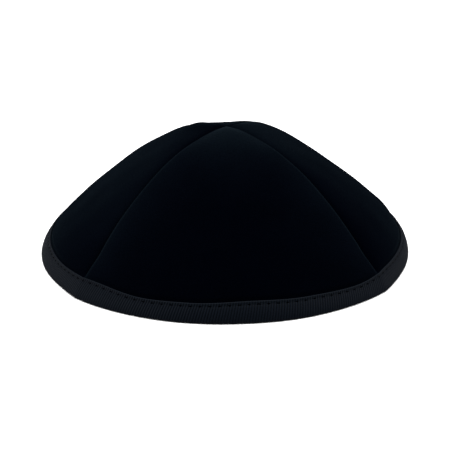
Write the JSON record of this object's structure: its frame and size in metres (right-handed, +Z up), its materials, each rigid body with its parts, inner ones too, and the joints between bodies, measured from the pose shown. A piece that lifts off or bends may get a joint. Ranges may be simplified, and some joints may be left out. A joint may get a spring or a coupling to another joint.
{
  "type": "kippah skullcap",
  "caption": "Shallow domed velvet skullcap of wedge-shaped panels sewn edge to edge, with its rim bound in a folded ribbed ribbon.",
  "frame": {"origin": "middle of the rim, in the plane that the cap stands on", "axes": "+Z up through the top where the seams cross; the front panel's middle faces -Y; +X is to the right of someone who looks at the front panel"},
  "size_m": [0.1682, 0.1682, 0.0536],
  "materials": {
    "velvet": "matt black cut pile with a sheen at grazing angles",
    "ribbon": "black ribbed grosgrain with a faint satin gloss"
  },
  "bodies": {
    "root": {"panel_front": "velvet", "panel_right": "velvet", "panel_back": "velvet", "panel_left": "velvet", "rim_binding": "ribbon"}
  },
  "joints": []
}
